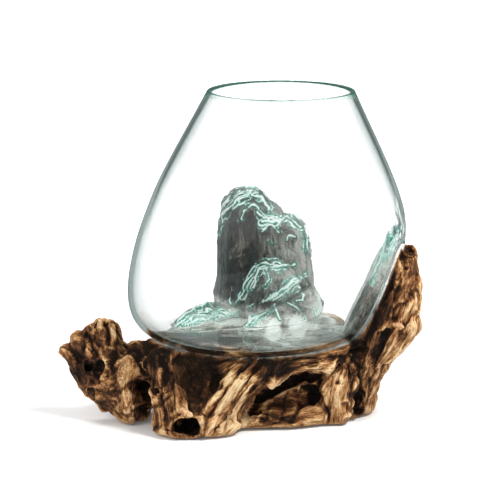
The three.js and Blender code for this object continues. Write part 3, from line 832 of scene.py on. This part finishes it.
# Limbs that press into the vessel, and the ridges that its floor sank over.
PRESSING = ("knob_tall", "knob_low", "spur", "branch")
FLOOR_RIDGES = ([(-70, -8, 48), (-58, 6, 52), (-45, 24, 58), (-34, 40, 58), (-16, 58, 57), (4, 68, 56)],
                [(-20, -12, 44), (-10, -4, 46), (10, 12, 58), (32, 30, 58), (45, 47, 58), (48, 66, 58)])


def settle_on_bulb(points, section):
    """Points near the bulb's wall are set on it exactly; the share says how near each was."""
    here = on_section(points)
    turn = np.arctan2(points[:, 1], points[:, 0] - bulb_axis(here[:, 1]))
    away, _, place = nearest_on_line(here, section)
    radius, height = place.T
    share = 1 - smooth_step(away, 0.7, 1.5)
    settled = np.stack([bulb_axis(height) + radius * np.cos(turn), radius * np.sin(turn),
                        height + SEAT_HEIGHT], axis=1)
    return points + (settled - points) * share[:, None], share


def thin_out(piece, plain):
    """Fewer faces on the plain wall, and all of them where the glass sank over the wood."""
    far = 1 - smooth_step(spread(1 - plain, edge_ends(piece.data), 12), 0.0, 0.03)
    group = piece.vertex_groups.new(name="plain")
    for share in (0.5, 1.0):
        group.add(np.flatnonzero(far > share - 0.25).tolist(), share, "REPLACE")
    apply_modifier(piece, "DECIMATE", ratio=KEPT_FACES, vertex_group="plain")
    piece.vertex_groups.clear()
    # Collapsed edges may leave a face twice.
    piece.data.validate()


def faces_air(points, out):
    """0 where the glass that sank faces the wood below it, 1 where it faces the air."""
    lines = [FIBRES[name][1] for name in PRESSING] + list(FLOOR_RIDGES)
    best = np.full(len(points), FAR_AWAY)
    foot = np.zeros(points.shape)
    for line in lines:
        away, _, here = nearest_on_line(points, line)
        closer = away < best
        best = np.where(closer, away, best)
        foot = np.where(closer[:, None], here, foot)
    return smooth_step(((points - foot) * out).sum(axis=1) / np.maximum(best, 1), -0.1, 0.25)


def folds_at(points):
    """Height of the glass's folds, how tinted the glass is in them, and their crests, which carry a painted
    highlight.
    """
    # Blown folds never run quite true.
    stray = [1.8 * soft_noise(points / 9, 71 + axis) + 0.4 * soft_noise(points / 4, 74 + axis)
             for axis in (0, 1)]
    seen = in_photo(points) + np.stack(stray, axis=1)
    height, tint, crest_highlight = np.zeros((3, len(points)))
    for half_width, rise, line in FOLDS.values():
        column, row = line[0]
        away = nearest_on_line(seen, line)[0]
        wave = np.clip(0.9 + 0.8 * soft_noise(points / 9, column), 0.05, 1.3)
        away = away * (1 + 0.5 * soft_noise(points / 8, row))
        # Fine parallel ridges run along each fold.
        ridges = 0.5 + 0.5 * np.cos(away * 2 * math.pi / RIDGE_SPACING)
        hump = np.exp(-(away / half_width) ** 2) * wave * (0.55 + 0.45 * ridges)
        height = np.maximum(height, hump * rise)
        body = np.exp(-(away / (half_width * 1.5)) ** 2) * wave
        tint = np.maximum(tint, body * (0.3 + 0.7 * ridges))
        # The crests of the fine ridges carry a painted highlight.
        crest_highlight = np.maximum(crest_highlight, body * smooth_step(ridges, 0.5, 0.95))
    return height, np.clip(tint, 0, 1), np.clip(crest_highlight, 0, 1)


def blown_glass():
    piece = copy_of_node("glass_vessel", "blown_glass")
    remesh(piece, VOXEL_GLASS)
    mesh = piece.data
    section = wall_section()
    points, plain = settle_on_bulb(measured(mesh), section)
    points = spread(points, edge_ends(mesh), 16, plain)
    set_coordinates(mesh, in_packed_frame(points))
    thin_out(piece, plain)
    mesh = piece.data
    points, plain = settle_on_bulb(measured(mesh), section)
    ends = edge_ends(mesh)
    set_coordinates(mesh, in_packed_frame(points))
    out = normals(mesh)
    airy = faces_air(points, out)
    sunk = smooth_step(spread(1 - plain, ends, 8), 0.1, 0.5)
    # Beside the branch the folds run on over the plain wall.
    beside = 1 - smooth_step(nearest_on_line(points, FIBRES["branch"][1])[0], 34, 42)
    draped = np.maximum(sunk, beside * (points[:, 1] < 0)) * airy
    # Folds placed by the photograph would stretch where it sees the glass edge-on.
    draped *= 0.15 + 0.85 * smooth_step(np.abs(out @ CAMERA_WAY), 0.06, 0.36)
    lift, tint, crest_highlight = folds_at(points)
    # Behind the knob, where the photograph doesn't reach, the folds are plain ripples.
    ripples = 1 - np.abs(soft_noise(points / (14, 14, 9), 21)) * 3
    back = smooth_step(points[:, 1], 60, 80) * smooth_step(points[:, 2], 90, 120)
    lift = np.maximum(lift, 1.8 * np.clip(ripples, 0, 1) * back) + 0.35 * soft_noise(points / 6, 22)
    points = points + out * (lift * draped)[:, None]
    set_coordinates(mesh, in_packed_frame(spread(points, ends, 1, np.maximum(plain, 0.4))))
    rim = smooth_step(points[:, 2] - SEAT_HEIGHT, VESSEL_HEIGHT - 3, VESSEL_HEIGHT - 1)
    add_attribute(mesh, "tint", tint * draped)
    add_attribute(mesh, "crest_highlight", crest_highlight * draped)
    add_attribute(mesh, "lip", 0.25 * rim)
    add_attribute(mesh, "draped", draped)
    add_attribute(mesh, "on_wood", sunk * (1 - airy))
    mesh.shade_smooth()
    mesh.materials.append(recycled_glass())
    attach(piece, "vessel")
    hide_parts("glass_vessel")


def recycled_glass():
    """Clear blown soda-lime glass from old bottles: blue-green where it is thick, darker where it is
    seen along the wall, partly from its thickness and partly as painted shade, and finely wrinkled
    where it sank over the wood. Its folds carry painted white highlights on their crests."""
    material, add = new_material("recycled_blown_glass")
    tint, draped, crest_highlight, lip, on_wood = [add("Attribute", attribute_name=name).outputs["Fac"]
                                         for name in ("tint", "draped", "crest_highlight", "lip", "on_wood")]
    place = add("TexCoord").outputs["Object"]
    tone = add("ValToRGB", {"Fac": tint},
                    [(0.0, "#ffffff"), (0.2, "#eef8f5"), (0.55, "#7cc7b6"), (1.0, "#2b8a79")])
    # Where the wall is seen edge-on it is tinted darker: partly its thickness, partly painted shade.
    edge = add("LayerWeight", Blend=0.5)
    along = add("ValToRGB", {"Fac": edge.outputs["Facing"]},
                     [(0.0, "#ffffff"), (0.36, "#fefefe"), (0.57, "#f5f7f7"), (0.8, "#f0f5f4"),
                      (0.92, "#bcd9d2"), (1.0, "#2f8676")])
    colour = add("Mix", {"A": tone, "B": along}, data_type="RGBA", blend_type="MULTIPLY", Factor=1.0)
    # Wrinkles about 3 mm apart.
    wrinkles = add("TexNoise", {"Vector": place}, Scale=300.0, Detail=2.0, Roughness=0.5)
    depth = scaled(add, tint, 0.5, 0.0, scaled(add, draped, 0.18, 0.0))
    bump = add("Bump", {"Height": wrinkles, "Strength": depth}, Distance=0.0016)
    glass = add("BsdfPrincipled",
                     {"Base Color": colour.outputs["Result"], "Normal": bump}, Roughness=0.0, IOR=1.5)
    glass.inputs["Transmission Weight"].default_value = 1.0
    # The thick folds are an opaque blue-green coat, mottled about 2 mm apart, with painted white highlights
    # on their crests.
    fold_mottle = add("TexNoise", {"Vector": place}, Scale=420.0, Detail=3.0, Roughness=0.6)
    fold_tint_and_highlight = add("ValToRGB", {"Fac": scaled(add, fold_mottle, 0.7, -0.35, crest_highlight)},
                       [(0.1, "#2c7767"), (0.36, "#86c8b9"), (0.72, "#f8fdfb")])
    ragged = add("ValToRGB", {"Fac": scaled(add, fold_mottle, 0.9, -0.45, tint)},
                      [(0.26, "#000000"), (0.56, "#d4d4d4")])
    fold_coat = add("BsdfPrincipled", {"Base Color": fold_tint_and_highlight, "Normal": bump}, Roughness=0.25)
    cloudy = add("Math", {0: lip, 1: ragged}, operation="MAXIMUM")
    folded = add("MixShader", {0: cloudy, 1: glass, 2: fold_coat})
    # The side that sank on to the wood holds no air against it, so it bends no light.
    joined = add("BsdfTransparent", Color=(1, 1, 1, 1))
    seen = add("MixShader", {0: on_wood, 1: folded, 2: joined})
    # Shadows and the wood's own light pass straight through.
    clear = add("BsdfTransparent", Color=hex_colour("#fafcfb"))
    path = add("LightPath").outputs
    unseen = add("Math", {0: path["Is Shadow Ray"], 1: path["Is Diffuse Ray"]}, operation="MAXIMUM")
    mix = add("MixShader", {0: unseen, 1: seen, 2: clear})
    body = add("VolumeAbsorption", Color=hex_colour("#b9e2d9"), Density=3.0)
    add("OutputMaterial", {"Surface": mix, "Volume": body})
    return material


def felt_pads():
    felt = pressed_felt()
    for number in range(1, 5):
        node = f"felt_pad_{number}"
        low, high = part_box(node)
        middle = (low + high) / 2
        thickness = high.z - low.z
        bpy.ops.object.select_all(action="DESELECT")
        bpy.ops.mesh.primitive_cylinder_add(vertices=40, radius=(high.x - low.x) / 2, depth=thickness,
                                            location=(0, 0, thickness / 2))
        piece = bpy.context.object
        piece.name = f"felt_dot_{number}"
        bpy.ops.object.transform_apply(location=True)
        bpy.ops.object.mode_set(mode="EDIT")
        bpy.ops.mesh.select_all(action="SELECT")
        bpy.ops.mesh.bevel(offset=0.0003, segments=2)
        bpy.ops.object.mode_set(mode="OBJECT")
        set_coordinates(piece.data, coordinates(piece.data) + (middle.x, middle.y, 0))
        piece.data.materials.append(felt)
        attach(piece, "base")
        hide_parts(node)


def pressed_felt():
    """Die-cut wool felt: matt, brown, with short matted hairs."""
    material, add = new_material("pressed_felt")
    place = add("TexCoord").outputs["Object"]
    hairs = add("TexNoise", {"Vector": place}, Scale=1400.0, Detail=4.0, Roughness=0.7)
    brown = add("ValToRGB", {"Fac": hairs}, [(0.3, "#2b221c"), (0.7, "#4d4036")])
    bump = add("Bump", {"Height": hairs}, Strength=0.6, Distance=0.0003)
    shader = add("BsdfPrincipled", {"Base Color": brown, "Normal": bump}, Roughness=0.95)
    add("OutputMaterial", {"Surface": shader})
    return material


def only_mirrored(add, path):
    """1 for rays that something shiny has turned, 0 for all others."""
    mirrored = add("Math", {0: path["Glossy Depth"]}, operation="GREATER_THAN")
    mirrored.inputs[1].default_value = 0.5
    return mirrored


def studio_floor():
    """A white sheet that runs to the horizon and keeps the object's soft shadow. In reflections it
    is darker, as the room round a lit table is."""
    bpy.ops.object.select_all(action="DESELECT")
    bpy.ops.mesh.primitive_circle_add(vertices=96, radius=12, fill_type="NGON")
    floor = bpy.context.object
    floor.name = "floor"
    material, add = new_material("white_paper_floor")
    path = add("LightPath").outputs
    place = add("TexCoord").outputs["Object"]
    away = add("VectorMath", {0: place}, operation="LENGTH")
    # The paper's own light fades in away from the object, where the lamps fall off.
    fade = add("MapRange", {0: away.outputs["Value"]}, interpolation_type="SMOOTHSTEP")
    for number, value in enumerate((0.22, 1.1, 0.05, 1.0), start=1):
        fade.inputs[number].default_value = value
    paper = add("BsdfDiffuse", Color=hex_colour("#f4f4f4"))
    glow = add("Emission", {"Strength": fade}, Color=(1, 1, 1, 1))
    none = add("Emission", Strength=0.0)
    lit = add("MixShader", {0: path["Is Diffuse Ray"], 1: glow, 2: none})
    seen = add("AddShader", {0: paper, 1: lit})
    dim = add("Emission", Color=hex_colour("#a6b2b0"), Strength=1.0)
    both = add("MixShader", {0: only_mirrored(add, path), 1: seen, 2: dim})
    add("OutputMaterial", {"Surface": both})
    floor.data.materials.append(material)


def soft_light(name, place, aim, size, power):
    data = bpy.data.lights.new(name, "AREA")
    data.shape = "DISK"
    data.size = size
    data.energy = power
    lamp = new_object(name, data)
    lamp.location = place
    lamp.rotation_euler = (Vector(aim) - Vector(place)).to_track_quat("-Z", "Y").to_euler()
    lamp.visible_glossy = False
    lamp.visible_transmission = False


def studio_lights():
    scene = bpy.context.scene
    scene.view_settings.view_transform = "Standard"
    scene.world = bpy.data.worlds.new("studio")
    add = node_adder(scene.world)
    path = add("LightPath").outputs
    white = add("Background", Color=(1, 1, 1, 1), Strength=1.0)
    light = add("Background", Color=(1, 1, 1, 1), Strength=0.55)
    # What the glass mirrors: dark grey low down, a bright band above it, mid grey overhead.
    way = add("TexCoord").outputs["Generated"]
    parts = add("SeparateXYZ", {0: way})
    height = add("ValToRGB", {"Fac": parts.outputs["Z"]},
                      [(0.0, "#667170"), (0.25, "#768583"), (0.45, "#f0f0f0"), (0.6, "#f0f0f0"),
                       (0.78, "#a0a2a2"), (1.0, "#a0a2a2")])
    room = add("Background", {"Color": height}, Strength=1.0)
    seen = add("MixShader", {0: only_mirrored(add, path), 1: white, 2: room})
    sky = add("MixShader", {0: path["Is Diffuse Ray"], 1: seen, 2: light})
    add("OutputWorld", {"Surface": sky})
    soft_light("key", (0.75, -0.35, 1.25), (0.02, 0, 0.06), 0.5, 19)
    soft_light("fill", (-0.9, -0.9, 0.8), (0, 0, 0.06), 0.8, 6)
    soft_light("back", (-0.3, 1.1, 1.2), (0, 0, 0.08), 0.6, 10)


make_camera()
driftwood()
blown_glass()
felt_pads()
studio_floor()
studio_lights()
